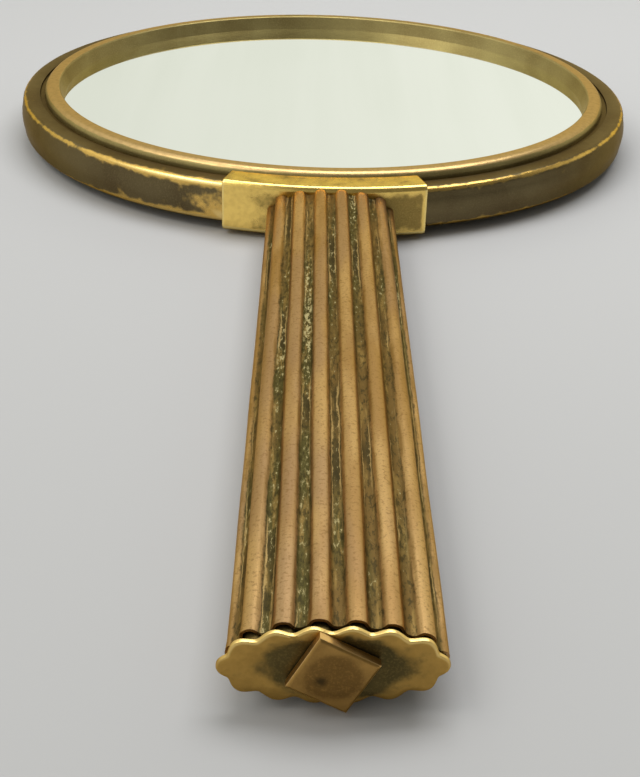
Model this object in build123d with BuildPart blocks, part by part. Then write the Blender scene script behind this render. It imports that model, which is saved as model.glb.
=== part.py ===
"""Brass hand mirror: a round glazed head and a hollow fluted handle, clamped by one long tie bolt.

Millimetres. The mirror lies on its back with the glass facing +Z and the handle running out along
-Y. The origin is the centre of the back plate's flat face, which the mirror rests on.
"""

from build123d import *
import math
import os

# Head: a hollow sheet ring, with the same bead on both faces
RING_RADIUS = 65.4  # at the middle of the ring's convex rim
RING_EDGE_RADIUS = 65.0  # at the rim's upper and lower edges
RING_BORE = 61.4  # inner edge of the ring's shoulders
RING_HEIGHT = 7.8
RING_SHEET = 0.9
RING_EDGE_ROUND = 0.7
BEAD_PROUD = 1.6  # the bezels' beads stand this far above the ring's shoulders
SOLDER_GAP = 0.05

# Inner ring: closes the hollow ring, and its ledge carries the glass and the back plate
INNER_RING_WALL = 1.0
GROOVE_DEPTH = 2.0  # its edge is the floor of the groove round the bead, this far below the crest
LEDGE_RADIUS = 58.0
LEDGE_THICKNESS = 1.2

# Bezels: radii of the turned section
BEZEL_RADIUS = 60.3
BEZEL_SKIRT = 0.45
BEAD_INNER_RADIUS = 57.05
BEAD_CROWN = (57.55, 58.85)  # the nearly flat top of the bead
BEAD_ROUND = 1.45
BEAD_INNER_EDGE = 0.45  # the bead's inner edge is rounded over this depth
BEAD_INNER_BULGE = (0.13, 0.15)  # that rounding passes this far in from the edge and below the crest
FOOT_RADIUS = 56.3  # inner edge of the foot, where it meets the glass

# What the two bezels hold
GLASS_RADIUS = 59.2
GLASS_THICKNESS = 2.0
GLASS_DEPTH = 3.0  # face of the glass below the front bead
PACKING_THICKNESS = 0.5
CARD_THICKNESS = 0.5
PLATE_THICKNESS = 0.7
PLATE_PANEL_RADIUS = 54.4
PLATE_WALL_RADIUS = 55.6
PLATE_EDGE_ROUND = 0.6
BOARD_RADIUS = 53.6

# Saddle: the collar that joins the handle to the ring, and the tapped block behind it
SADDLE_RADIUS = 66.2
SADDLE_HALF_ANGLE = 16.3
SADDLE_INNER_RADIUS = 60.5
SADDLE_FLANGE = 0.9
SADDLE_EDGE_ROUND = 1.1
BLOCK_HALF_ANGLE = 9.0

# Handle: an oval tube of corrugated sheet
FLUTES = 14
HANDLE_HALF_WIDTH = 11.3
HANDLE_HALF_HEIGHT = 4.45
OVAL_FULLNESS = 2.3  # exponent of the ovals: 2 is an ellipse, and more is fuller at the corners
FLUTE_DEPTH = 0.9
SHEET = 0.4
HANDLE_END = 187.2  # distance of the tube's free end from the mirror's centre
HANDLE_OFFSET = 1.1  # the handle is soldered on a little to the right of the head's centre
SLEEVE_WALL = 0.35  # at the roots of a sleeve's flutes, over its plain oval bore
COLLAR_LENGTH = 8.0
COLLAR_PLAY = 0.1
SEAM_GAP = 0.15
SEAM_STRIP = (3.0, 0.4)  # width and thickness
SEAM_CLEARANCE = 1.0  # the strip stops this far short of the collar and of the cap's sleeve

# End cap: a scalloped plate on a fluted sleeve that slides in the tube
CAP_HALF_WIDTH = 11.73
CAP_HALF_HEIGHT = 4.75
CAP_FLUTE_DEPTH = 0.7
CAP_PLATE = 0.5
CAP_GAP = 1.6  # the plate stands this far off the tube, because the bolt is a little slack
CAP_SLEEVE = 6.0
CAP_PLAY = 0.5
CAP_TURN = 2.0  # the plate is soldered to its sleeve a little crooked
CAP_HOLE_RADIUS = 2.1
CAP_DISH = (7.8, 3.4, 0.2)  # half width, half height and depth of the dished face

# Tie bolt: an eighth-inch rod of forty threads to the inch, riveted into a square head
ROD_RADIUS = 1.6
BOLT_SHIFT = -0.5  # the bolt, and the cap plate with it, stand a little to one side in the handle
BOLT_DROP = 0.3  # the bolt stands this far below the handle's middle
THREAD_PITCH = 0.635
TURNS_TO_TIGHTEN = 1.75
THREAD_PLAY = 0.05
HOLE_PLAY = 0.15
HEAD_SIDE = 7.0
HEAD_THICKNESS = 1.2
HEAD_LEAN = 16.8  # the head's corner stands this many degrees anticlockwise of upright
HEAD_GAP = 0.05
HEAD_EDGE_ROUND = 0.25

OVERRUN = 1.0  # a cutting shape runs past what it cuts by this much

TOP = 2 * BEAD_PROUD + RING_HEIGHT
MIDDLE = TOP / 2
RING_TOP = TOP - BEAD_PROUD
GLASS_TOP = TOP - GLASS_DEPTH
GLASS_BOTTOM = GLASS_TOP - GLASS_THICKNESS
LEDGE_TOP = GLASS_BOTTOM - CARD_THICKNESS
LEDGE_BOTTOM = LEDGE_TOP - LEDGE_THICKNESS
PLATE_FLANGE = LEDGE_BOTTOM - PLATE_THICKNESS
INNER_RING_RADIUS = RING_BORE - SOLDER_GAP
INNER_RING_BORE = INNER_RING_RADIUS - INNER_RING_WALL
SKIRT_BORE = BEZEL_RADIUS - BEZEL_SKIRT
CAP_BACK = HANDLE_END + CAP_GAP
CAP_FACE = CAP_BACK + CAP_PLATE
HEAD_BACK = CAP_FACE + HEAD_GAP
HEAD_FACE = HEAD_BACK + HEAD_THICKNESS
TIGHTENING = TURNS_TO_TIGHTEN * THREAD_PITCH
ROD_TIP = INNER_RING_BORE + SOLDER_GAP + TIGHTENING


def across_handle(distance, side_shift=0.0, drop=0.0):
    """A plane across the handle, this far from the mirror's centre, facing the free end."""
    origin = (HANDLE_OFFSET + side_shift, -distance, MIDDLE - drop)
    return Plane(origin=origin, x_dir=(1, 0, 0), z_dir=(0, -1, 0))


def across_bolt(distance):
    """A plane across the tie bolt, this far from the mirror's centre."""
    return across_handle(distance, BOLT_SHIFT, BOLT_DROP)


def rectangle(left, right, low, high):
    """A plain rectangle between four edges."""
    with BuildSketch() as made:
        with Locations(((left + right) / 2, (low + high) / 2)):
            Rectangle(right - left, high - low)
    return made.sketch


def oval_point(half_width, half_height, angle):
    """A point of a full oval, and the outward normal there."""
    x = math.copysign(abs(math.cos(angle)) ** (2 / OVAL_FULLNESS), math.cos(angle))
    y = math.copysign(abs(math.sin(angle)) ** (2 / OVAL_FULLNESS), math.sin(angle))
    normal_x = math.copysign(abs(x) ** (OVAL_FULLNESS - 1), x) / half_width
    normal_y = math.copysign(abs(y) ** (OVAL_FULLNESS - 1), y) / half_height
    return Vector(half_width * x, half_height * y), Vector(normal_x, normal_y).normalized()


def oval_stations(half_width, half_height, count):
    """Points and outward normals at equal steps along an oval, from its +X end."""
    steps = 7200
    angles = [2 * math.pi * i / steps for i in range(steps + 1)]
    points = [oval_point(half_width, half_height, angle) for angle in angles]
    run = [0.0]
    for (here, _), (there, _) in zip(points, points[1:]):
        run.append(run[-1] + (there - here).length)
    stations = []
    i = 0
    for k in range(count):
        while run[i] < run[-1] * k / count:
            i += 1
        stations.append(points[i])
    return stations


def fluted_oval(half_width, half_height, depth, inset=0.0):
    """An oval with FLUTES ribs: an arc over each crest and one through each root, evenly inset."""
    stations = oval_stations(half_width, half_height, 4 * FLUTES)
    drops = (0.0, depth / 2, depth, depth / 2)
    points = [at - normal * (drops[k % 4] + inset) for k, (at, normal) in enumerate(stations)]
    with BuildSketch() as oval:
        with BuildLine():
            for k in range(0, 4 * FLUTES, 2):
                ThreePointArc(points[k - 1], points[k], points[k + 1])
        make_face()
    return oval.sketch


def handle_oval(inset=0.0):
    """The handle's own section, evenly inset."""
    return fluted_oval(HANDLE_HALF_WIDTH, HANDLE_HALF_HEIGHT, FLUTE_DEPTH, inset)


def ring_outline(bore):
    """The hollow ring's outside section: a convex rim between two rounded edges."""
    upper = (RING_EDGE_RADIUS, RING_TOP)
    lower = (RING_EDGE_RADIUS, BEAD_PROUD)
    with BuildSketch() as outline:
        with BuildLine():
            Line((bore, RING_TOP), upper)
            ThreePointArc(upper, (RING_RADIUS, MIDDLE), lower)
            Polyline(lower, (bore, BEAD_PROUD), (bore, RING_TOP))
        make_face()
        fillet(outline.vertices().group_by(Axis.X)[-1], radius=RING_EDGE_ROUND)
    return outline.sketch


def bezel_section(foot_depth, skirt_depth):
    """A bezel's section, drawn with the bead's crest at zero height and the rest below it."""
    crown_in, crown_out = BEAD_CROWN
    flank = BEAD_ROUND * math.sqrt(0.5)
    inner_edge = (BEAD_INNER_RADIUS, -BEAD_INNER_EDGE)
    bulge_in, bulge_down = BEAD_INNER_BULGE
    inner_round = (BEAD_INNER_RADIUS + bulge_in, -bulge_down)
    outer_round = (crown_out + flank, flank - BEAD_ROUND)
    outer_edge = (BEZEL_RADIUS, -BEAD_ROUND)
    with BuildSketch() as section:
        with BuildLine():
            Line((FOOT_RADIUS, -foot_depth), inner_edge)
            ThreePointArc(inner_edge, inner_round, (crown_in, 0))
            Line((crown_in, 0), (crown_out, 0))
            ThreePointArc((crown_out, 0), outer_round, outer_edge)
            Polyline(
                outer_edge,
                (BEZEL_RADIUS, -skirt_depth),
                (SKIRT_BORE, -skirt_depth),
                (SKIRT_BORE, -foot_depth),
                (FOOT_RADIUS, -foot_depth),
            )
        make_face()
    return section.sketch


def write(part):
    """Write one finished piece, named by its label."""
    export_step(part, os.path.join("parts", part.label + ".step"))


def turned(name, section):
    """A piece turned about the mirror's own axis."""
    with BuildPart() as made:
        with BuildSketch(Plane.XZ):
            add(section)
        revolve(axis=Axis.Z)
    made.part.label = name
    write(made.part)


def bolt_hole(radius, start=SADDLE_INNER_RADIUS - OVERRUN, end=SADDLE_RADIUS + OVERRUN):
    """A hole for the tie bolt, to be cut from a piece that it passes through."""
    with BuildPart(mode=Mode.PRIVATE) as hole:
        with BuildSketch(across_bolt(start)):
            Circle(radius)
        extrude(amount=end - start)
    return hole.part


def swept_by_angle(section, half_angle):
    """A section swept round the mirror's axis, evenly about the handle."""
    start = math.radians(-90 - half_angle)
    outward = (math.cos(start), math.sin(start), 0)
    sideways = (math.sin(start), -math.cos(start), 0)
    with BuildPart(mode=Mode.PRIVATE) as swept:
        with BuildSketch(Plane(origin=(0, 0, 0), x_dir=outward, z_dir=sideways)):
            add(section)
        revolve(axis=Axis.Z, revolution_arc=2 * half_angle)
    return swept.part


def fluted_sleeve(name, start, length, inset):
    """A short sleeve inside the handle's end: fluted outside, a plain oval bore, and cut to the saddle."""
    wall = FLUTE_DEPTH + inset + SLEEVE_WALL
    with BuildPart() as sleeve:
        with BuildSketch(across_handle(start)):
            add(handle_oval(inset))
            Ellipse(HANDLE_HALF_WIDTH - wall, HANDLE_HALF_HEIGHT - wall, mode=Mode.SUBTRACT)
        extrude(amount=length)
        Cylinder(SADDLE_RADIUS, 4 * TOP, mode=Mode.SUBTRACT)
    sleeve.part.label = name
    write(sleeve.part)


os.makedirs("parts", exist_ok=True)

# Frame band: sheet brass rolled to a channel that opens inwards, drilled for the tie rod.
channel_low = BEAD_PROUD + RING_SHEET
channel = rectangle(RING_BORE - OVERRUN, RING_EDGE_RADIUS - RING_SHEET, channel_low, TOP - channel_low)
with BuildPart() as frame_band:
    with BuildSketch(Plane.XZ):
        add(ring_outline(RING_BORE))
        add(channel, mode=Mode.SUBTRACT)
    revolve(axis=Axis.Z)
    add(bolt_hole(ROD_RADIUS + HOLE_PLAY, start=RING_BORE), mode=Mode.SUBTRACT)
frame_band.part.label = "frame_band"
write(frame_band.part)

# Inner ring: soldered inside the band's shoulders, with the ledge standing in from it.
with BuildPart() as inner_ring:
    with BuildSketch(Plane.XZ):
        add(rectangle(INNER_RING_BORE, INNER_RING_RADIUS, GROOVE_DEPTH, TOP - GROOVE_DEPTH))
        add(rectangle(LEDGE_RADIUS, INNER_RING_BORE, LEDGE_BOTTOM, LEDGE_TOP))
    revolve(axis=Axis.Z)
    add(
        bolt_hole(ROD_RADIUS + HOLE_PLAY, start=INNER_RING_BORE, end=RING_BORE),
        mode=Mode.SUBTRACT,
    )
inner_ring.part.label = "inner_ring"
write(inner_ring.part)

# Bezels: the front one holds the glass down, the rear one holds the back plate up.
front_section = bezel_section(GLASS_DEPTH, TOP - LEDGE_TOP - SOLDER_GAP)
turned("front_bezel", Pos(0, TOP) * front_section)
rear_section = bezel_section(PLATE_FLANGE, LEDGE_BOTTOM - SOLDER_GAP)
turned("rear_bezel", mirror(rear_section, about=Plane.XZ))

# Glass and what is packed round and behind it.
turned("mirror_glass", rectangle(0, GLASS_RADIUS, GLASS_BOTTOM, GLASS_TOP))
packing_bore = GLASS_RADIUS + SOLDER_GAP
packing_radius = packing_bore + PACKING_THICKNESS
turned("glass_packing", rectangle(packing_bore, packing_radius, GLASS_BOTTOM, GLASS_TOP))
turned("backing_card", rectangle(0, packing_radius, LEDGE_TOP, GLASS_BOTTOM))
turned("backing_board", rectangle(0, BOARD_RADIUS, PLATE_THICKNESS, LEDGE_TOP))

# Back plate: a pressed pan whose flat panel comes level with the rear bead.
with BuildSketch() as pan_section:
    with BuildLine():
        Polyline(
            (0, 0),
            (PLATE_PANEL_RADIUS, 0),
            (PLATE_WALL_RADIUS, PLATE_FLANGE),
            (SKIRT_BORE - SOLDER_GAP, PLATE_FLANGE),
            (SKIRT_BORE - SOLDER_GAP, LEDGE_BOTTOM),
            (PLATE_WALL_RADIUS - PLATE_THICKNESS, LEDGE_BOTTOM),
            (PLATE_PANEL_RADIUS - PLATE_THICKNESS, PLATE_THICKNESS),
            (0, PLATE_THICKNESS),
            close=True,
        )
    make_face()
    panel_edge = pan_section.vertices().sort_by_distance((PLATE_PANEL_RADIUS, 0))[0]
    fillet(panel_edge, radius=PLATE_EDGE_ROUND)
turned("back_plate", pan_section.sketch)

# Anchor block: a curved brass block inside the hollow ring, tapped for the tie rod.
block_outside = RING_EDGE_RADIUS - RING_SHEET - SOLDER_GAP
block_low = channel_low + SOLDER_GAP
block_section = rectangle(RING_BORE, block_outside, block_low, TOP - block_low)
with BuildPart() as anchor_block:
    add(swept_by_angle(block_section, BLOCK_HALF_ANGLE))
    add(bolt_hole(ROD_RADIUS + THREAD_PLAY), mode=Mode.SUBTRACT)
anchor_block.part.label = "anchor_block"
write(anchor_block.part)

# Saddle: a collar that wraps the rim and hooks over both shoulders.
saddle_low = BEAD_PROUD - SADDLE_FLANGE
with BuildSketch() as saddle_section:
    add(rectangle(SADDLE_INNER_RADIUS, SADDLE_RADIUS, saddle_low, TOP - saddle_low))
    fillet(saddle_section.vertices().group_by(Axis.X)[-1], radius=SADDLE_EDGE_ROUND)
    add(ring_outline(SADDLE_INNER_RADIUS - OVERRUN), mode=Mode.SUBTRACT)
with BuildPart() as saddle:
    add(swept_by_angle(saddle_section.sketch, SADDLE_HALF_ANGLE))
    add(bolt_hole(ROD_RADIUS + HOLE_PLAY), mode=Mode.SUBTRACT)
saddle.part.label = "saddle"
write(saddle.part)

# Handle: the collar soldered to the saddle, the tube over it, and the strip behind the tube's seam.
collar_length = SADDLE_RADIUS - RING_EDGE_RADIUS + COLLAR_LENGTH
fluted_sleeve("tube_collar", RING_EDGE_RADIUS, collar_length, SHEET + COLLAR_PLAY)

with BuildPart() as handle_tube:
    with BuildSketch(across_handle(RING_EDGE_RADIUS)):
        add(handle_oval())
        add(handle_oval(SHEET), mode=Mode.SUBTRACT)
        add(rectangle(-SEAM_GAP / 2, SEAM_GAP / 2, -HANDLE_HALF_HEIGHT, 0), mode=Mode.SUBTRACT)
    extrude(amount=HANDLE_END - RING_EDGE_RADIUS)
    Cylinder(SADDLE_RADIUS, 4 * TOP, mode=Mode.SUBTRACT)
handle_tube.part.label = "handle_tube"
write(handle_tube.part)

strip_width, strip_thickness = SEAM_STRIP
strip_low = FLUTE_DEPTH + SHEET - HANDLE_HALF_HEIGHT
strip_start = SADDLE_RADIUS + COLLAR_LENGTH + SEAM_CLEARANCE
strip_end = CAP_BACK - CAP_SLEEVE - TIGHTENING - SEAM_CLEARANCE
with BuildPart() as seam_strip:
    with BuildSketch(across_handle(strip_start)):
        add(rectangle(-strip_width / 2, strip_width / 2, strip_low, strip_low + strip_thickness))
    extrude(amount=strip_end - strip_start)
seam_strip.part.label = "seam_strip"
write(seam_strip.part)

# End cap: the scalloped plate, dished round the bolt, and the sleeve soldered behind it.
dish_width, dish_height, dish_depth = CAP_DISH
with BuildPart() as cap_plate:
    with BuildSketch(across_handle(CAP_BACK, BOLT_SHIFT)):
        add(fluted_oval(CAP_HALF_WIDTH, CAP_HALF_HEIGHT, CAP_FLUTE_DEPTH), rotation=CAP_TURN)
    extrude(amount=CAP_PLATE)
    with BuildSketch(across_handle(CAP_FACE - dish_depth, BOLT_SHIFT)):
        Ellipse(dish_width - 2 * dish_depth, dish_height - 2 * dish_depth)
    with BuildSketch(across_handle(CAP_FACE, BOLT_SHIFT)):
        Ellipse(dish_width, dish_height)
    loft(mode=Mode.SUBTRACT)
    add(
        bolt_hole(CAP_HOLE_RADIUS, start=CAP_BACK - OVERRUN, end=CAP_FACE + OVERRUN),
        mode=Mode.SUBTRACT,
    )
cap_plate.part.label = "cap_plate"
write(cap_plate.part)

fluted_sleeve("cap_sleeve", CAP_BACK - CAP_SLEEVE, CAP_SLEEVE, SHEET + CAP_PLAY)

# Tie bolt: the rod screws into the anchor block, and its other end is riveted in the square head.
with BuildPart() as tie_rod:
    with BuildSketch(across_bolt(ROD_TIP)):
        Circle(ROD_RADIUS)
    extrude(amount=HEAD_FACE - ROD_TIP)
tie_rod.part.label = "tie_rod"
write(tie_rod.part)

rivet_hole = ROD_RADIUS + THREAD_PLAY / 2
with BuildPart() as square_head:
    with BuildSketch(across_bolt(HEAD_BACK)):
        Rectangle(HEAD_SIDE, HEAD_SIDE, rotation=45 + HEAD_LEAN)
    extrude(amount=HEAD_THICKNESS)
    fillet(square_head.faces().sort_by(Axis.Y)[0].edges(), radius=HEAD_EDGE_ROUND)
    add(bolt_hole(rivet_hole, start=HEAD_BACK - OVERRUN, end=HEAD_FACE + OVERRUN), mode=Mode.SUBTRACT)
square_head.part.label = "square_head"
write(square_head.part)
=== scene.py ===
"""A brass hand mirror lying glass up: worn bezels round a silvered glass, and a fluted handle."""

import math

import bmesh
import bpy
from mathutils import Matrix, Vector, noise


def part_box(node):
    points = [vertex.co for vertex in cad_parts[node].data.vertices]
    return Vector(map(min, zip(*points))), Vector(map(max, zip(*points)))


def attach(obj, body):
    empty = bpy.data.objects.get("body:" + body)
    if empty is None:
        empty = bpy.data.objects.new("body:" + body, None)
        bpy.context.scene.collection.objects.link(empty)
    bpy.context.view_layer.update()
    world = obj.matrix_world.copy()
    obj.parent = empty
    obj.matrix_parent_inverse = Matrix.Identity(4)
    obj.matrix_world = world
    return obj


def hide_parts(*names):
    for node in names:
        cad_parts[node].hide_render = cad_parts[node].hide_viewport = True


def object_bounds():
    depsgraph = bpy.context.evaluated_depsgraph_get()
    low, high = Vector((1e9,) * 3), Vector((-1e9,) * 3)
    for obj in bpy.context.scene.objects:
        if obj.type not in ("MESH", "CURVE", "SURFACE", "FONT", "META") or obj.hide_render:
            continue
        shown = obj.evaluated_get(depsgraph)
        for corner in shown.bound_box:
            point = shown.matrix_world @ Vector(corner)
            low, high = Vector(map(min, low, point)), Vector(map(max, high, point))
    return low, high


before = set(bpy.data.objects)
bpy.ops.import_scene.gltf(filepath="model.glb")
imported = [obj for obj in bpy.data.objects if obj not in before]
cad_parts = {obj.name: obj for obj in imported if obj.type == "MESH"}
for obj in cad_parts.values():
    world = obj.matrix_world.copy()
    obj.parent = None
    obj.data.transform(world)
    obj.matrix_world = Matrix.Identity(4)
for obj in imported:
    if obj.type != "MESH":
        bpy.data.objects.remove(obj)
cad_low, cad_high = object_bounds()


# Frame band. The rim of the head: sheet brass rolled to a channel, with a slightly swollen wall
# and rounded edges. Years of handling left the wall olive brown and rubbed its edges to gold. A
# painted highlight runs along the edges, broad and bright to the left of the saddle, and the flat
# shoulders carry painted shade.

def arc(centre, radius, start, end, steps):
    """Points of a section along an arc, from one angle to another, in degrees."""
    angles = [math.radians(start + (end - start) * i / steps) for i in range(steps + 1)]
    return [(centre[0] + radius * math.cos(a), centre[1] + radius * math.sin(a)) for a in angles]


def finished(name, bm, body, nodes, sharp=40.0):
    """A mesh object from a bmesh, smooth but for its sharp edges, standing for its CAD nodes."""
    bmesh.ops.remove_doubles(bm, verts=bm.verts, dist=1e-7)
    bmesh.ops.recalc_face_normals(bm, faces=bm.faces)
    for face in bm.faces:
        face.smooth = True
    for edge in bm.edges:
        edge.smooth = not edge.is_manifold or edge.calc_face_angle() < math.radians(sharp)
    mesh = bpy.data.meshes.new(name)
    bm.to_mesh(mesh)
    bm.free()
    piece = bpy.data.objects.new(name, mesh)
    bpy.context.scene.collection.objects.link(piece)
    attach(piece, body)
    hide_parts(*nodes)
    return piece


def turned(section, steps):
    """A bmesh turned about the head's axis from a closed section of (radius, height) points."""
    bm = bmesh.new()
    verts = [bm.verts.new((r, 0, z)) for r, z in section]
    edges = [bm.edges.new((verts[i - 1], verts[i])) for i in range(len(verts))]
    bmesh.ops.spin(
        bm,
        geom=verts + edges,
        axis=(0, 0, 1),
        cent=(0, 0, 0),
        angle=2 * math.pi,
        steps=steps,
        use_merge=True,
    )
    return bm


def paint(piece, name, rule):
    """A value from 0 to 1 at each vertex of a piece, for its material to read."""
    layer = piece.data.attributes.new(name, "FLOAT", "POINT")
    for vertex, value in zip(piece.data.vertices, layer.data):
        value.value = min(max(rule(vertex.co), 0.0), 1.0)


def smooth(low, high, value):
    """0 at low and before it, 1 at high and past it, smooth between; low may be the larger."""
    t = min(max((value - low) / (high - low), 0.0), 1.0)
    return t * t * (3 - 2 * t)


def away_from_handle(co):
    """The angle round the head from the handle, in degrees: positive to the right."""
    return math.degrees(math.atan2(co.x, -co.y))


class Finish:
    """A small node tree on object coordinates, with one Principled shader."""

    def __init__(self, name):
        self.material = bpy.data.materials.new(name)
        self.material.use_nodes = True
        self.tree = self.material.node_tree
        self.shader = self.tree.nodes["Principled BSDF"]
        self.place = self.tree.nodes.new("ShaderNodeTexCoord").outputs["Object"]

    def link(self, value, socket):
        """Feed a socket from another node's output, or give it a plain value."""
        if isinstance(value, bpy.types.NodeSocket):
            self.tree.links.new(value, socket)
        else:
            socket.default_value = value

    def noise(self, scale, detail=3.0, stretch=(1, 1, 1), offset=0.0, roughness=0.55):
        """Fine or coarse mottling; scale is in cycles per metre."""
        mapping = self.tree.nodes.new("ShaderNodeMapping")
        mapping.inputs["Scale"].default_value = [scale * s for s in stretch]
        mapping.inputs["Location"].default_value = (offset, offset, offset)
        self.tree.links.new(self.place, mapping.inputs["Vector"])
        texture = self.tree.nodes.new("ShaderNodeTexNoise")
        texture.inputs["Scale"].default_value = 1.0
        texture.inputs["Detail"].default_value = detail
        texture.inputs["Roughness"].default_value = roughness
        self.tree.links.new(mapping.outputs["Vector"], texture.inputs["Vector"])
        return texture.outputs["Fac"]

    def attribute(self, name):
        """A painted value of the piece."""
        reader = self.tree.nodes.new("ShaderNodeAttribute")
        reader.attribute_name = name
        return reader.outputs["Fac"]

    def math(self, operation, *values):
        """One sum on up to three values."""
        step = self.tree.nodes.new("ShaderNodeMath")
        step.operation = operation
        for value, socket in zip(values, step.inputs):
            self.link(value, socket)
        return step.outputs["Value"]

    def ramp(self, value, low, high, to_low=0.0, to_high=1.0):
        """A smooth step of a value, from low to high."""
        step = self.tree.nodes.new("ShaderNodeMapRange")
        step.interpolation_type = "SMOOTHSTEP"
        for setting, socket in zip((value, low, high, to_low, to_high), step.inputs):
            self.link(setting, socket)
        return step.outputs["Result"]

    def mix(self, factor, first, second):
        """A blend of two colours."""
        step = self.tree.nodes.new("ShaderNodeMix")
        step.data_type = "RGBA"
        self.link(factor, step.inputs[0])
        for colour, socket in ((first, step.inputs[6]), (second, step.inputs[7])):
            self.link(colour if isinstance(colour, bpy.types.NodeSocket) else (*colour, 1.0), socket)
        return step.outputs[2]

    def bump(self, height, strength, distance, under=None):
        """A relief from a height, over another relief."""
        step = self.tree.nodes.new("ShaderNodeBump")
        step.inputs["Strength"].default_value = strength
        step.inputs["Distance"].default_value = distance
        self.tree.links.new(height, step.inputs["Height"])
        if under:
            self.tree.links.new(under, step.inputs["Normal"])
        return step.outputs["Normal"]

    def set(self, **values):
        """Shader inputs by name, with an underscore for a space."""
        for name, value in values.items():
            if isinstance(value, tuple):
                value = (*value, 1.0)
            self.link(value, self.shader.inputs[name.replace("_", " ")])
        return self.material


# The colour that brass gives to light which only grazes it.
EDGE_TINT = (0.70, 0.54, 0.31)


def worn_brass(
    name, bare, tarnish, spots, rough=(0.24, 0.42), bias=0.0, ragged=0.5, soft=0.14, polish_and_highlight=None
):
    """Brass, bare where the piece has painted wear and painted highlights, tarnished elsewhere.

    rough holds the roughness of bare and of tarnished brass. bias is wear added everywhere, ragged
    and soft shape the border of the worn places, and the polish colour goes on the most worn places
    and on painted highlights. A piece that also carries painted shade is darkened there.
    """
    f = Finish(name)
    coarse = f.noise(70, 4)
    middling = f.noise(330, 4, offset=5.0)
    fine = f.noise(900, 5, offset=3.0)
    grain = f.noise(4200, 2, offset=7.0)
    jag = f.math("ADD", f.math("MULTIPLY", middling, 0.6), f.math("MULTIPLY", fine, 0.4))
    shifted = f.math("MULTIPLY", f.math("SUBTRACT", jag, 0.5), 2 * ragged)
    wear_and_light = f.math("ADD", f.math("ADD", f.attribute("wear_and_light"), bias), shifted)
    bared = f.ramp(wear_and_light, 0.5 - soft, 0.5 + soft)
    dark = f.mix(f.ramp(coarse, 0.35, 0.68), tarnish, spots)
    dark = f.mix(f.ramp(grain, 0.45, 0.75, 0.0, 0.35), dark, [c * 1.7 for c in tarnish])
    light = f.mix(f.ramp(fine, 0.40, 0.66, 0.0, 0.55), bare, [b * 0.74 for b in bare])
    # The polish colour goes on the most worn places and on painted highlights.
    if polish_and_highlight:
        light = f.mix(f.ramp(f.attribute("wear_and_light"), 0.80, 0.98), light, polish_and_highlight)
    # Painted shade read from the piece darkens its colour here.
    painted_shade = f.math("MULTIPLY", f.attribute("painted_shade"), f.ramp(middling, 0.30, 0.55, 0.55, 1.0))
    relief = f.bump(fine, 0.25, 0.00006)
    relief = f.bump(grain, 0.18, 0.00002, relief)
    blotches = f.math("MULTIPLY", f.math("ADD", fine, painted_shade), 0.08)
    return f.set(
        Base_Color=f.mix(painted_shade, f.mix(bared, dark, light), (0.035, 0.027, 0.013)),
        Metallic=f.ramp(bared, 0.0, 1.0, 0.85, 1.0),
        Roughness=f.math("ADD", f.ramp(bared, 0.0, 1.0, rough[1], rough[0]), blotches),
        Specular_Tint=EDGE_TINT,
        Normal=relief,
    )


BARE = (0.82, 0.53, 0.14)
OLIVE = (0.155, 0.120, 0.058)
UMBER = (0.105, 0.076, 0.036)

band_low, band_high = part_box("frame_band")
bead_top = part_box("front_bezel")[1].z
rim = band_high.x
shoulder = rim - 0.0004
edge = 0.0013
bore = rim - 0.0040
sheet = 0.0009
low, high = band_low.z, band_high.z
middle = (low + high) / 2

upper_edge = arc((shoulder - edge, high - edge), edge, 90, 12, 12)
lower_edge = arc((shoulder - edge, low + edge), edge, -12, -90, 12)
bulge = rim - shoulder
wall_half = high - middle - edge * 1.15
swell = [
    (shoulder - 0.00002 + bulge * math.cos(t * math.pi / 2), middle + t * wall_half)
    for t in (0.85, 0.7, 0.5, 0.25, 0.0, -0.25, -0.5, -0.7, -0.85)
]
channel = shoulder - sheet
inside = [(bore, low + sheet), (channel, low + sheet), (channel, high - sheet), (bore, high - sheet)]
band_section = [(bore, high)] + upper_edge + swell + lower_edge + [(bore, low)] + inside
turn_steps = 320
band_ring = turned(band_section, turn_steps)
band = finished("frame_band_rolled", band_ring, "mirror", ["frame_band"])


def band_wear_and_highlight(co):
    """Rubbed along both edges of the wall, where a painted highlight grows broad and bright to the
    left of the saddle; ragged wear low on the left, and a ragged patch of bright brass by the saddle.
    """
    angle = away_from_handle(co)
    r = math.hypot(co.x, co.y)
    on_left = smooth(-62, -22, angle) * smooth(10, 0, angle)
    on_right = smooth(70, 20, angle) * smooth(0, 10, angle)
    near = on_left + 0.4 * on_right
    past_arc = abs(co.z - middle) - (high - middle - edge)
    lean = math.degrees(math.atan2(past_arc, r - (shoulder - edge)))
    # Painted highlight along the rounded edges, over their rubbed wear, broad and bright to the left
    # of the saddle.
    line = math.exp(-(((lean - 48 + 14 * near) / (19 + 22 * near)) ** 2))
    outer_part = smooth(shoulder - 0.0022, shoulder - 0.0012, r)
    ragged = noise.noise(Vector((angle * 0.21, co.z * 300, 3.0)))
    low_down = smooth(middle + 0.001, low + 0.0008, co.z)
    teeth = 0.40 * smooth(-0.1, 0.5, ragged) * low_down * smooth(-90, -50, angle)
    if angle >= 0:
        teeth = 0.0
    by_saddle = smooth(-27 + 4 * ragged, -19, angle) * smooth(0, -5, angle)
    patch = 0.60 * by_saddle * smooth(-0.55, 0.25, ragged + 0.1)
    on_wall = r > shoulder - 0.0004
    return max(line * (0.66 + 0.34 * near) * outer_part, (teeth + patch) * on_wall)


def shoulder_shade(co):
    """Painted shade on the flat of the shoulders."""
    return 0.38 * smooth(shoulder - 0.0012, shoulder - 0.0026, math.hypot(co.x, co.y))


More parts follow.
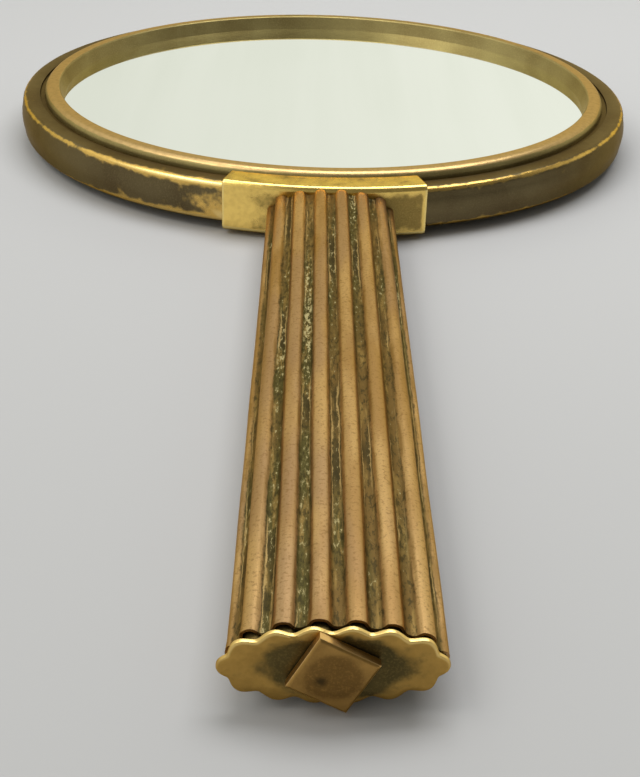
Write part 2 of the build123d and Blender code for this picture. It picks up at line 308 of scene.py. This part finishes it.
paint(band, "wear_and_light", band_wear_and_highlight)
paint(band, "painted_shade", shoulder_shade)
band.data.materials.append(
    worn_brass(
        "patinated_band",
        BARE,
        OLIVE,
        UMBER,
        (0.22, 0.33),
        ragged=1.0,
        soft=0.26,
        polish_and_highlight=(1.0, 0.74, 0.28),
    )
)


# Inner ring. A soldered ring that closes the band's channel; only its edge shows, as the floor of
# the narrow dark groove round the bead. Its ledge carries the glass.

def dress(node, material):
    """A CAD node that keeps its shape takes a material."""
    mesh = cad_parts[node].data
    mesh.materials.clear()
    mesh.materials.append(material)


hidden_brass = worn_brass(
    "plain_brass",
    (0.66, 0.44, 0.17),
    (0.30, 0.21, 0.10),
    (0.20, 0.13, 0.06),
    bias=0.35,
)
groove_brass = worn_brass(
    "groove_brass",
    BARE,
    (0.11, 0.080, 0.030),
    (0.07, 0.050, 0.020),
    bias=-0.3,
)
dress("inner_ring", groove_brass)


# Bezels. Two turned brass rings, each a half-round bead on a skirt that drops inside the inner
# ring. The front one holds the glass down, and its crown is rubbed to a tan gold.

def bezel_section(crest, depth_sign, foot_depth, skirt_depth):
    """The bezel's section. Heights are measured from the crest of the bead."""
    bead_out = 0.0603
    crown_out = 0.05885
    crown_in = 0.05755
    bead_in = 0.05705
    round_out = bead_out - crown_out
    crown_rise = 0.00004
    inner_round = 0.00050
    foot = 0.0563
    foot_top = 0.0006
    skirt = bead_out - 0.00045
    points = arc((crown_out, -round_out), round_out, 0, 90, 10)
    for t in (0.75, 0.5, 0.25):
        points.append((crown_in + (crown_out - crown_in) * t, crown_rise * math.sin(math.pi * t)))
    points += arc((crown_in, -inner_round), inner_round, 90, 172, 6)
    for t in (0.66, 0.33, 0.0):
        points.append((foot + (bead_in - foot) * t, -foot_depth + (foot_depth - foot_top) * t))
    points += [(skirt, -foot_depth), (skirt, -skirt_depth), (bead_out, -skirt_depth)]
    return [(r, crest + depth_sign * z) for r, z in points]


glass_low, glass_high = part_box("mirror_glass")
plate_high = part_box("back_plate")[1]
plate_gauge = 0.0007
flange_low = plate_high.z - plate_gauge
front_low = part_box("front_bezel")[0].z
rear_low, rear_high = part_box("rear_bezel")
front_section = bezel_section(bead_top, 1, bead_top - glass_high.z, bead_top - front_low)
front_ring = turned(front_section, turn_steps)
front_bezel = finished("front_bezel_turned", front_ring, "mirror", ["front_bezel"])
rear_section = bezel_section(rear_low.z, -1, flange_low - rear_low.z, rear_high.z - rear_low.z)
rear_ring = turned(rear_section, turn_steps)
rear_bezel = finished("rear_bezel_turned", rear_ring, "mirror", ["rear_bezel"])


def bead_wear(co):
    """The bead is worn on its crown, and more towards the handle than away from it."""
    r = math.hypot(co.x, co.y)
    depth = min(abs(bead_top - co.z), abs(co.z - rear_low.z))
    near = 0.5 + 0.5 * math.cos(math.radians(away_from_handle(co) + 15))
    return smooth(0.0010, 0.0001, depth) * smooth(0.0570, 0.0576, r) * (0.52 + 0.5 * near)


bezel_brass = worn_brass(
    "worn_bezel",
    (0.61, 0.42, 0.180),
    (0.36, 0.290, 0.115),
    (0.26, 0.200, 0.075),
    (0.33, 0.38),
)
for bezel in (front_bezel, rear_bezel):
    paint(bezel, "wear_and_light", bead_wear)
    bezel.data.materials.append(bezel_brass)


# Glass. A disc of silvered plate glass with ground edges. Old wiping has left faint streaks in it,
# and the silver is a little green.

glass_radius = glass_high.x
ground = 0.0003
glass_section = [(glass_radius - ground, glass_low.z), (glass_radius, glass_low.z + ground)]
glass_section += [(glass_radius, glass_high.z - ground), (glass_radius - ground, glass_high.z)]


def disc(section, steps):
    """A turned solid that reaches the axis: its outline, spun and closed at the poles."""
    bm = bmesh.new()
    path = [(0.0, section[0][1])] + section + [(0.0, section[-1][1])]
    verts = [bm.verts.new((r, 0, z)) for r, z in path]
    edges = [bm.edges.new((a, b)) for a, b in zip(verts, verts[1:])]
    bmesh.ops.spin(
        bm,
        geom=verts + edges,
        axis=(0, 0, 1),
        cent=(0, 0, 0),
        angle=2 * math.pi,
        steps=steps,
        use_merge=True,
    )
    return bm


disc_steps = 256
pane = disc(glass_section, disc_steps)
glass = finished("silvered_glass", pane, "mirror", ["mirror_glass"])
f = Finish("silvered_glass")
streaks = f.noise(1.0, 3, stretch=(90, 5, 90))
veil = f.noise(14, 2, offset=5.0)
tint = f.mix(f.ramp(streaks, 0.35, 0.70), (0.90, 0.925, 0.865), (0.945, 0.965, 0.915))
tint = f.mix(f.ramp(veil, 0.35, 0.70, 0.0, 0.5), tint, (0.955, 0.970, 0.930))
glass.data.materials.append(
    f.set(Base_Color=tint, Metallic=1.0, Roughness=f.ramp(streaks, 0.40, 0.75, 0.012, 0.05))
)


# Packing, card and board. A strip of card wedged round the glass, a thin card behind its silver,
# and a thick greyboard that fills the head and keeps the back plate from ringing.

f = Finish("grey_card")
fibre = f.noise(2600, 4, stretch=(1, 1, 3))
blotch = f.noise(120, 3, offset=2.0)
card = f.mix(f.ramp(fibre, 0.35, 0.7), (0.20, 0.18, 0.15), (0.30, 0.27, 0.23))
card = f.mix(f.ramp(blotch, 0.45, 0.75, 0.0, 0.5), card, (0.16, 0.13, 0.10))
grey_card = f.set(Base_Color=card, Roughness=0.9, Normal=f.bump(fibre, 0.4, 0.0001))
for node in ("glass_packing", "backing_card", "backing_board"):
    dress(node, grey_card)


# Back plate. A pressed brass pan whose flat panel comes level with the rear bead; the mirror rests
# on it. It is held by its flange, under the rear bezel.

flange = glass_radius + 0.0006
flange_high = plate_high.z
panel = 0.0544
panel_round = 0.0006
wall = 0.0556
pan_section = [(panel * t, 0.0) for t in (0.25, 0.5, 0.75, 0.9)]
pan_section += arc((panel - panel_round, panel_round), panel_round, -90, -20, 6)
pan_section += [(wall, flange_low), (flange, flange_low), (flange, flange_high)]
pan_section += [(wall - plate_gauge, flange_high), (panel - plate_gauge, plate_gauge)]
pan_section.append((panel * 0.5, plate_gauge))
pan = disc(pan_section, disc_steps)
back_plate = finished("back_plate_pressed", pan, "mirror", ["back_plate"])


def back_wear(co):
    """Rubbed by the table: a broad patch in the middle and a line at the panel's edge."""
    r = math.hypot(co.x, co.y)
    scuffs = 0.5 + 0.5 * noise.noise(Vector((co.x * 40, co.y * 40, 1.5)))
    patch = 0.55 * smooth(0.050, 0.010, r) * scuffs
    return patch + 0.8 * smooth(0.0525, 0.0540, r) * smooth(0.002, 0.0, co.z)


paint(back_plate, "wear_and_light", back_wear)
back_plate.data.materials.append(
    worn_brass(
        "back_brass",
        (0.66, 0.46, 0.19),
        (0.24, 0.165, 0.075),
        (0.16, 0.11, 0.05),
        (0.30, 0.38),
    )
)


# Anchor block and saddle. The block hides in the band's channel and takes the tie bolt's thread.
# The saddle is a cast collar hooked over both shoulders of the band, still bright from polishing;
# its wall carries a painted reflection, bright on the left, with painted shade on the right.

dress("anchor_block", hidden_brass)

saddle_low, saddle_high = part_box("saddle")
saddle_radius = 0.0662
saddle_angle = math.asin(saddle_high.x / saddle_radius)
hook = 0.0605
lip = 0.0011
clear = 0.00004
saddle_foot, saddle_top = saddle_low.z, saddle_high.z
hook_tip = 0.0003
wall_top = saddle_top - lip
wall_height = saddle_top - saddle_foot - 2 * lip
saddle_section = arc((saddle_radius - lip, wall_top), lip, 90, 0, 8)
saddle_section += [(saddle_radius, wall_top - t * wall_height) for t in (0.2, 0.4, 0.6, 0.8)]
saddle_section += arc((saddle_radius - lip, saddle_foot + lip), lip, 0, -90, 5)
saddle_section += [(hook + hook_tip, saddle_foot), (hook, saddle_foot + hook_tip)]
saddle_section.append((hook, low - clear))
saddle_section += [(shoulder, low - clear), (rim + clear, middle), (shoulder, high + clear)]
saddle_section.append((hook, high + clear))
saddle_section += [(hook, saddle_top - hook_tip), (hook + hook_tip, saddle_top)]
bm = bmesh.new()
bm.faces.new([bm.verts.new((r, 0, z)) for r, z in saddle_section])
first_end = Matrix.Rotation(-math.pi / 2 - saddle_angle, 3, "Z")
bmesh.ops.rotate(bm, verts=bm.verts, matrix=first_end)
bmesh.ops.spin(
    bm,
    geom=bm.verts[:] + bm.edges[:] + bm.faces[:],
    axis=(0, 0, 1),
    cent=(0, 0, 0),
    angle=2 * saddle_angle,
    steps=96,
)


def shows(border):
    """Whether an edge of an end face stands clear of the band."""
    first, second = border.verts
    reach = min(math.hypot(first.co.x, first.co.y), math.hypot(second.co.x, second.co.y))
    return reach > rim + 0.0001 or abs(first.co.z - middle) > high - middle + 0.0004


corners = [e for e in bm.edges if e.is_manifold and e.calc_face_angle() > math.radians(60)]
ends = [e for e in corners if any(len(face.verts) > 4 for face in e.link_faces)]
bmesh.ops.bevel(
    bm,
    geom=[e for e in ends if shows(e)],
    offset=0.00028,
    offset_type="OFFSET",
    affect="EDGES",
    segments=3,
    profile=0.5,
    material=-1,
)
saddle = finished("saddle_polished", bm, "mirror", ["saddle"])


def saddle_wear_and_light(co):
    """Painted reflection on its wall, bright on the left, with painted shade on the right and beside
    the handle; browner on top, and rubbed along its edges, which carry painted highlights too.
    """
    angle = away_from_handle(co)
    top = smooth(saddle_radius - 0.0006, saddle_radius - 0.0014, math.hypot(co.x, co.y))
    # Rubbed edges and ends, which also carry painted highlights.
    lower_edge_wear = smooth(0.0014, 0.0008, co.z - saddle_foot)
    upper_edge_wear = 0.8 * smooth(0.0014, 0.0010, saddle_top - co.z)
    edges = max(lower_edge_wear, upper_edge_wear)
    ends = smooth(15.2, 15.9, abs(angle))
    # Painted reflection and shade: bright on the left, darker on the right and beside the handle.
    wall = 0.72 - 0.50 * smooth(-6, 8, angle) - 0.25 * smooth(12.5, 10.0, abs(angle))
    return max(wall, 0.9 * ends, edges) * (1 - top) + 0.54 * top


paint(saddle, "wear_and_light", saddle_wear_and_light)
saddle.data.materials.append(
    worn_brass(
        "polished_brass",
        (1.0, 0.70, 0.19),
        (0.36, 0.245, 0.070),
        (0.17, 0.130, 0.038),
        (0.20, 0.33),
        bias=0.02,
        ragged=0.7,
        soft=0.22,
        polish_and_highlight=(1.0, 0.80, 0.32),
    )
)


# Handle. A collar soldered to the saddle carries the tube: thin brass pressed into ribs and bent
# round to a flat oval, its long edges meeting underneath over a soldered strip. The ribs are
# rubbed tan, and the flutes keep green-brown tarnish with pale flecks. Its free end is uneven.

for node in ("tube_collar", "seam_strip"):
    dress(node, hidden_brass)

tube_low, tube_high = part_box("handle_tube")
flutes = 14
per_flute = 24
around = flutes * per_flute
handle_x = (tube_low.x + tube_high.x) / 2
handle_z = middle
half_width = (tube_high.x - tube_low.x) / 2
drawn_height, drawn_width = 4.45, 11.3
half_height = half_width * drawn_height / drawn_width
fullness = 2.3
normal_power = 1.3
flute_depth = 0.0009
tube_gauge = 0.0003


def fuller(part):
    """One coordinate of a full oval, from the same coordinate of a circle."""
    return math.copysign(abs(part) ** (2 / fullness), part)


def oval_runs(a, b, count):
    """Angles at equal steps along a full oval, from its right end."""
    steps = 4000
    angles = [2 * math.pi * i / steps for i in range(steps + 1)]
    points = [Vector((a * fuller(math.cos(t)), b * fuller(math.sin(t)))) for t in angles]
    run = [0.0]
    for here, there in zip(points, points[1:]):
        run.append(run[-1] + (there - here).length)
    result = []
    i = 0
    for k in range(count):
        while run[i] < run[-1] * k / count:
            i += 1
        result.append(angles[i])
    return result


def wave(k):
    """Where a point stands between a root, 0, and a crest, 1, k steps round."""
    return 0.5 + 0.5 * math.cos(2 * math.pi * (k % per_flute) / per_flute)


def rib(k):
    """The pressed height there: broad, rounded ribs with steep flanks and flat flutes."""
    return 0.45 * wave(k) + 0.55 * smooth(0.10, 0.72, wave(k))


def lobe(k):
    """The cap's softer scallops."""
    return wave(k) ** 0.8


def fluted_oval(a, b, depth, inset, profile):
    """Points of one fluted oval about the handle's axis, as (x, z)."""
    points = []
    for k, t in enumerate(oval_runs(a, b, around)):
        x, z = fuller(math.cos(t)), fuller(math.sin(t))
        steep_x = math.copysign(abs(x) ** normal_power, x) / a
        steep_z = math.copysign(abs(z) ** normal_power, z) / b
        normal = Vector((steep_x, steep_z)).normalized()
        points.append(Vector((a * x, b * z)) - normal * (depth * (1 - profile(k)) + inset))
    return points


def across_handle(points, y, turn=0.0, side=0.0):
    """Places across the handle for the points of an oval."""
    c, s = math.cos(turn), math.sin(turn)
    axis_x = handle_x + side
    return [Vector((axis_x + p.x * c - p.y * s, y, handle_z + p.x * s + p.y * c)) for p in points]


def drawn_out(bm, ring, places):
    """Extrude a closed ring of vertices to new places, and return the new ring."""
    pairs = zip(ring, ring[1:] + ring[:1])
    edges = [bm.edges.get(pair) or bm.edges.new(pair) for pair in pairs]
    made = bmesh.ops.extrude_edge_only(bm, edges=edges)["geom"]
    fresh = {v for v in made if isinstance(v, bmesh.types.BMVert)}
    grown = [next(e.other_vert(v) for e in v.link_edges if e.other_vert(v) in fresh) for v in ring]
    for v, place in zip(grown, places):
        v.co = place
    return grown


def skinned(bm, rings):
    """A skin drawn through rings of places in turn; returns the rings of vertices."""
    made = [[bm.verts.new(place) for place in rings[0]]]
    for places in rings[1:]:
        made.append(drawn_out(bm, made[-1], places))
    return made


tube_points = fluted_oval(half_width, half_height, flute_depth, 0.0, rib)
tube_start = -(shoulder - 0.0002)
tube_end = tube_low.y
stations = 64
longest_trim = 0.00042


def end_trim(k):
    """How far the hand-cut free end stands out, short of the cap when that is tightened."""
    t = 2 * math.pi * k / around
    uneven = noise.noise(Vector((2.6 * math.cos(t), 2.6 * math.sin(t), 4.0)))
    return min(0.00022 + 0.00050 * uneven + 0.00008 * math.cos(3 * t), longest_trim)


def tube_place(k, place, t):
    """A point of the tube's outer face, with the unevenness of pressed sheet."""
    out = Vector((place.x - handle_x, place.z - handle_z)).normalized()
    settled = smooth(1.0, 0.93, t)
    wander = 0.00009 * settled * noise.noise(Vector((place.x * 180, place.y * 55, place.z * 180)))
    on_one_side = smooth(0.3, 0.9, math.sin(2 * math.pi * k / around - 0.9))
    lifted = 0.00012 * smooth(0.985, 1.0, t) * on_one_side
    y = place.y - end_trim(k) * smooth(0.90, 1.0, t)
    moved = wander + lifted
    return Vector((place.x + out.x * moved, y, place.z + out.y * moved))


bm = bmesh.new()
ribs = bm.verts.layers.float.new("rib")
rings = []
for j in range(stations + 1):
    t = j / stations
    ring = across_handle(tube_points, tube_start + (tube_end - tube_start) * t)
    rings.append([tube_place(k, place, t) for k, place in enumerate(ring)])
for ring in skinned(bm, rings):
    for k, v in enumerate(ring):
        v[ribs] = wave(k)
bmesh.ops.recalc_face_normals(bm, faces=bm.faces)
bmesh.ops.solidify(bm, geom=bm.faces[:], thickness=tube_gauge)
tube = finished("handle_tube_pressed", bm, "mirror", ["handle_tube"], sharp=50)

f = Finish("fluted_brass")
streaky = f.noise(1.0, 5, stretch=(1300, 130, 1300), offset=1.0)
patches = f.noise(1.0, 3, stretch=(260, 42, 260), offset=6.0)
drift = f.noise(1.0, 2, stretch=(150, 26, 150), offset=11.0)
pits = f.noise(2300, 3, offset=2.0)
speck = f.noise(1.0, 5, stretch=(1900, 620, 1900), offset=9.0, roughness=0.75)
grain = f.noise(5200, 2, offset=4.0)
level = f.attribute("rib")
shift = f.math("ADD", f.math("MULTIPLY", patches, 0.35), f.math("MULTIPLY", streaky, 0.35))
shift = f.math("ADD", shift, f.math("MULTIPLY", speck, 0.30))
ragged_level = f.math("ADD", level, f.math("MULTIPLY", f.math("SUBTRACT", shift, 0.5), 1.1))
on_rib = f.ramp(ragged_level, 0.26, 0.46)
rib_colour = f.mix(f.ramp(patches, 0.38, 0.64), (0.46, 0.275, 0.108), (0.63, 0.405, 0.170))
rib_colour = f.mix(f.ramp(drift, 0.44, 0.60, 0.0, 0.65), rib_colour, (0.43, 0.270, 0.150))
rib_colour = f.mix(f.ramp(grain, 0.48, 0.75, 0.0, 0.40), rib_colour, (0.36, 0.20, 0.070))
rib_colour = f.mix(f.ramp(pits, 0.53, 0.66, 0.0, 0.50), rib_colour, (0.24, 0.13, 0.045))
flank = f.math("MULTIPLY", f.ramp(level, 0.42, 0.80, 1.0, 0.0), f.ramp(streaky, 0.42, 0.62))
rib_colour = f.mix(f.math("MULTIPLY", flank, 0.60), rib_colour, (0.25, 0.145, 0.048))
flute_colour = f.mix(f.ramp(drift, 0.44, 0.60), (0.165, 0.102, 0.034), (0.092, 0.080, 0.027))
flute_colour = f.mix(f.ramp(streaky, 0.50, 0.64, 0.0, 0.75), flute_colour, (0.29, 0.19, 0.060))
flute_colour = f.mix(f.ramp(patches, 0.52, 0.64, 0.0, 0.85), flute_colour, (0.050, 0.040, 0.018))
thick = f.math("ADD", speck, f.math("MULTIPLY", f.math("SUBTRACT", drift, 0.5), 0.50))
in_flute = f.ramp(level, 0.10, 0.34, 1.0, 0.0)
flecks = f.math("MULTIPLY", f.ramp(thick, 0.595, 0.675, 0.0, 0.9), in_flute)
flute_colour = f.mix(f.ramp(speck, 0.40, 0.50, 0.75, 0.0), flute_colour, (0.040, 0.034, 0.016))
flute_colour = f.mix(flecks, flute_colour, (0.47, 0.40, 0.19))
foot_line = f.math("MULTIPLY", f.ramp(ragged_level, 0.12, 0.20), f.ramp(ragged_level, 0.28, 0.21))
foot_line = f.math("MULTIPLY", foot_line, f.ramp(patches, 0.46, 0.60, 0.0, 0.7))
flute_colour = f.mix(foot_line, flute_colour, (0.58, 0.40, 0.16))
shine = f.math("SUBTRACT", f.ramp(on_rib, 0.0, 1.0, 0.85, 0.97), f.math("MULTIPLY", flecks, 0.6))
matt = f.math("ADD", f.ramp(on_rib, 0.0, 1.0, 0.48, 0.36), f.math("MULTIPLY", flecks, 0.25))
relief = f.bump(streaky, 0.30, 0.00012)
relief = f.bump(pits, 0.25, 0.00006, relief)
relief = f.bump(grain, 0.30, 0.00003, relief)
tube.data.materials.append(
    f.set(
        Base_Color=f.mix(on_rib, flute_colour, rib_colour),
        Metallic=shine,
        Roughness=matt,
        Specular_Tint=EDGE_TINT,
        Normal=relief,
    )
)


# End cap. A scalloped plate soldered to a fluted sleeve that slides in the tube. The lobes are
# rubbed bright; the middle, dished round the bolt, holds dark tarnish. A painted highlight lies
# along the rim, brightest at the top.

cap_low, cap_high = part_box("cap_plate")
cap_side = (cap_low.x + cap_high.x) / 2 - handle_x
cap_turn = math.radians(2.0)
cap_face, cap_back = cap_low.y, cap_high.y
cap_half = Vector((0.01173, 0.00475))
cap_depth = 0.0007
cap_edge = 0.00015
cap_hole = 0.0021
dish = 0.0002
dish_ovals = ((0.0092, 0.0034, 0.0), (0.0082, 0.0030, 0.45), (0.0068, 0.0026, 0.9))
cap_swell = 0.00002
swell_inset = 0.0006


def cap_oval(a, b, y):
    """Places of a plain oval on the cap, as many as the scallops have."""
    points = [Vector((a * math.cos(t), b * math.sin(t))) for t in oval_runs(*cap_half, around)]
    return across_handle(points, y, cap_turn, cap_side)


def cap_lobes(inset, y):
    """Places of the cap's scalloped outline, evenly inset."""
    return across_handle(fluted_oval(*cap_half, cap_depth, inset, lobe), y, cap_turn, cap_side)


bm = bmesh.new()
rings = [
    cap_oval(cap_hole, cap_hole, cap_back),
    cap_lobes(0.0, cap_back),
    cap_lobes(0.0, cap_face + cap_edge),
    cap_lobes(cap_edge * 0.3, cap_face + cap_edge * 0.3),
    cap_lobes(cap_edge, cap_face),
    cap_lobes(swell_inset, cap_face - cap_swell),
]
for half_x, half_z, share in dish_ovals:
    rings.append(cap_oval(half_x, half_z, cap_face + dish * share))
rings.append(cap_oval(cap_hole, cap_hole, cap_face + dish))
skinned(bm, rings + rings[:1])
cap = finished("cap_plate_scalloped", bm, "end_cap", ["cap_plate"], sharp=35)


def cap_wear_and_highlight(co):
    """Rubbed bright on the lobes to left and right, dark round the bolt; rubbed along the rim too,
    where a painted highlight is brightest along the top.
    """
    x = (co.x - handle_x - cap_side) / cap_half.x
    z = (co.z - handle_z) / cap_half.y
    stain = noise.noise(Vector((co.x * 260, 0, co.z * 260)))
    reach = math.hypot(x * 1.32, z * 1.02) + 0.10 * stain
    off_swell = smooth(cap_face - 0.000018, cap_face - 0.000004, co.y)
    # The rim: rubbed, with a painted highlight that is brightest along the top.
    rim_edge = off_swell * smooth(0.80, 0.86, math.hypot(x, z))
    return max(0.72 * smooth(0.50, 1.05, reach), rim_edge * (0.80 + 0.20 * smooth(-0.4, 0.7, z)))


paint(cap, "wear_and_light", cap_wear_and_highlight)
cap_brass = worn_brass(
    "cap_brass",
    (0.50, 0.300, 0.075),
    (0.17, 0.120, 0.040),
    (0.085, 0.066, 0.024),
    (0.30, 0.42),
    ragged=0.6,
    soft=0.20,
    polish_and_highlight=(0.85, 0.60, 0.21),
)
cap.data.materials.append(cap_brass)

sleeve_low, sleeve_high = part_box("cap_sleeve")
sleeve_play = 0.00032
sleeve_gauge = 0.0004
sleeve_outer = tube_gauge + sleeve_play
sleeve_inner = sleeve_outer + sleeve_gauge
bm = bmesh.new()
rings = [
    across_handle(fluted_oval(half_width, half_height, flute_depth, inset, rib), y)
    for inset, y in (
        (sleeve_outer, sleeve_high.y),
        (sleeve_outer, sleeve_low.y),
        (sleeve_inner, sleeve_low.y),
        (sleeve_inner, sleeve_high.y),
    )
]
skinned(bm, rings + rings[:1])
sleeve = finished("cap_sleeve_fluted", bm, "end_cap", ["cap_sleeve"], sharp=35)


def sleeve_wear(co):
    """Brighter above and below than at its sides."""
    return 0.75 - 0.5 * smooth(0.0045, 0.0034, abs(co.z - handle_z))


paint(sleeve, "wear_and_light", sleeve_wear)
sleeve.data.materials.append(cap_brass)


# Tie bolt. The long rod screws into the anchor block; its outer end is riveted over in a square
# head. The head's face is a little swollen, and the riveting shows as a faint ring and a dent,
# with a spot of painted shade beside it.

dress("tie_rod", hidden_brass)
head_low, head_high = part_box("square_head")
rod_low, rod_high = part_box("tie_rod")
head_x, head_z = (rod_low.x + rod_high.x) / 2, (rod_low.z + rod_high.z) / 2
head_side = 0.0070
head_lean = math.radians(45 + 16.8)
rod_radius = (rod_high.x - rod_low.x) / 2
grid = 56
swell_height = 0.00010
ring_depth, ring_width = 0.00003, 0.00012
dent_x, dent_y = -0.0011, 0.0001
dent_depth, dent_size = 0.00008, 0.00042
bm = bmesh.new()
bmesh.ops.create_grid(bm, x_segments=grid, y_segments=grid, size=head_side / 2)
walls = bmesh.ops.extrude_face_region(bm, geom=bm.faces[:])
bottom = [v for v in walls["geom"] if isinstance(v, bmesh.types.BMVert)]
bmesh.ops.translate(bm, verts=bottom, vec=(0, 0, -(head_high.y - head_low.y)))
for v in [v for v in bm.verts if v.co.z > -0.00001]:
    r = math.hypot(v.co.x, v.co.y)
    side = max(abs(v.co.x), abs(v.co.y)) / (head_side / 2)
    swell = swell_height * smooth(0.0032, 0.0016, r)
    planish = 0.00003 * noise.noise(Vector((v.co.x * 900, v.co.y * 900, 2.0)))
    ring_mark = ring_depth * math.exp(-((r - rod_radius) / ring_width) ** 2)
    from_dent = (v.co.x - dent_x) ** 2 + (v.co.y - dent_y) ** 2
    dent = dent_depth * math.exp(-from_dent / dent_size**2)
    worn_edge = 0.00022 * smooth(0.90, 1.0, side) ** 2
    v.co.z += swell + planish - ring_mark - dent - worn_edge
bmesh.ops.rotate(bm, verts=bm.verts, matrix=Matrix.Rotation(head_lean, 3, "Z"))
bmesh.ops.rotate(bm, verts=bm.verts, matrix=Matrix.Rotation(math.pi / 2, 3, "X"))
bmesh.ops.translate(bm, verts=bm.verts, vec=(head_x, head_low.y, head_z))
head = finished("square_head_riveted", bm, "tie_bolt", ["square_head"], sharp=45)


def head_wear(co):
    """Rubbed along the edges of its face."""
    x, z = co.x - head_x, co.z - head_z
    c, s = math.cos(-head_lean), math.sin(-head_lean)
    side = max(abs(x * c - z * s), abs(x * s + z * c)) / (head_side / 2)
    r = math.hypot(x, z)
    return max(smooth(0.92, 0.99, side), 0.55 * smooth(0.0014, 0.0034, r))


def dent_shade(co):
    """Painted shade for the dent: a dark spot by it, low on the left."""
    shade_spot_x, shade_spot_z = head_x - 0.0012, head_z - 0.0005
    return 0.85 * smooth(0.0010, 0.0001, math.hypot(co.x - shade_spot_x, co.z - shade_spot_z))


paint(head, "wear_and_light", head_wear)
paint(head, "painted_shade", dent_shade)
head.data.materials.append(
    worn_brass(
        "bronzed_brass",
        (0.46, 0.265, 0.075),
        (0.27, 0.150, 0.040),
        (0.20, 0.110, 0.030),
        (0.32, 0.42),
        ragged=0.5,
        soft=0.24,
        polish_and_highlight=(0.78, 0.50, 0.19),
    )
)


# The table, the light and the camera. A plain grey top, a broad soft lamp over the head, a weaker
# one high on the left, and a room that is bright beyond the head and on the left and dark
# elsewhere. The glass and the ribs reflect its far wall, and edges that face left its left side.

floor_bm = bmesh.new()
bmesh.ops.create_grid(floor_bm, x_segments=2, y_segments=2, size=1.6)
floor_mesh = bpy.data.meshes.new("table_top")
floor_bm.to_mesh(floor_mesh)
floor_bm.free()
floor = bpy.data.objects.new("table_top", floor_mesh)
floor.location = (0, 0, cad_low[2] - 0.0001)
bpy.context.scene.collection.objects.link(floor)
f = Finish("table_top")
floor_mesh.materials.append(f.set(Base_Color=(0.50, 0.50, 0.50), Roughness=0.8))


def lamp(name, at, aim, size, power, colour):
    """A square softbox that faces a point."""
    data = bpy.data.lights.new(name, "AREA")
    data.shape = "RECTANGLE"
    data.size, data.size_y = size
    data.energy = power
    data.color = colour
    lamp_object = bpy.data.objects.new(name, data)
    lamp_object.location = at
    lamp_object.rotation_euler = (Vector(aim) - Vector(at)).to_track_quat("-Z", "Y").to_euler()
    bpy.context.scene.collection.objects.link(lamp_object)


lamp("lamp_left", (-0.36, -0.17, 0.54), (0, -0.05, 0), (0.26, 0.26), 0.7, (1.0, 0.98, 0.95))
lamp("lamp_over_head", (0.10, 0.08, 0.50), (0.10, 0.08, 0), (0.50, 0.30), 2.3, (1.0, 1.0, 1.0))

world = bpy.data.worlds.new("studio")
bpy.context.scene.world = world
world.use_nodes = True
nodes, links = world.node_tree.nodes, world.node_tree.links


def slope(value, low, high):
    """A smooth step of one part of a direction, from low to high."""
    step = nodes.new("ShaderNodeMapRange")
    step.interpolation_type = "SMOOTHSTEP"
    links.new(value, step.inputs[0])
    step.inputs[1].default_value = low
    step.inputs[2].default_value = high
    return step.outputs["Result"]


def blend(factor, first, second):
    """A blend of two colours of light."""
    step = nodes.new("ShaderNodeMix")
    step.data_type = "RGBA"
    links.new(factor, step.inputs[0])
    for colour, socket in ((first, step.inputs[6]), (second, step.inputs[7])):
        if isinstance(colour, tuple):
            socket.default_value = (*colour, 1)
        else:
            links.new(colour, socket)
    return step.outputs[2]


direction = nodes.new("ShaderNodeTexCoord")
split = nodes.new("ShaderNodeSeparateXYZ")
links.new(direction.outputs["Generated"], split.inputs[0])
low_wall = blend(slope(split.outputs["X"], -0.5, 0.4), (0.70, 0.715, 0.64), (0.88, 0.895, 0.81))
front = blend(slope(split.outputs["X"], -0.60, 0.10), (0.75, 0.75, 0.70), (0.17, 0.17, 0.16))
overhead = blend(slope(split.outputs["X"], -0.50, -0.15), (1.10, 1.10, 1.05), (0.15, 0.15, 0.15))
room = blend(slope(split.outputs["Y"], -0.15, 0.60), front, low_wall)
room = blend(slope(split.outputs["Z"], 0.42, 0.76), room, overhead)
links.new(room, nodes["Background"].inputs["Color"])

camera_data = bpy.data.cameras.new("camera")
camera_data.sensor_width = 36.0
camera_data.lens = 63.11
camera_data.clip_start = 0.005
camera = bpy.data.objects.new("camera", camera_data)
bpy.context.scene.collection.objects.link(camera)
yaw, pitch, roll = math.radians(0.854), math.radians(28.649), math.radians(1.840)
forward = Vector((math.sin(yaw) * math.cos(pitch), math.cos(yaw) * math.cos(pitch), -math.sin(pitch)))
level_right = Vector((math.cos(yaw), -math.sin(yaw), 0))
level_up = level_right.cross(forward)
right = level_right * math.cos(roll) + level_up * math.sin(roll)
up = level_up * math.cos(roll) - level_right * math.sin(roll)
camera_turn = Matrix((right, up, -forward)).transposed().to_4x4()
camera.matrix_world = Matrix.Translation((-0.003174, -0.295013, 0.094808)) @ camera_turn
bpy.context.scene.camera = camera
bpy.context.scene.view_settings.view_transform = "Standard"
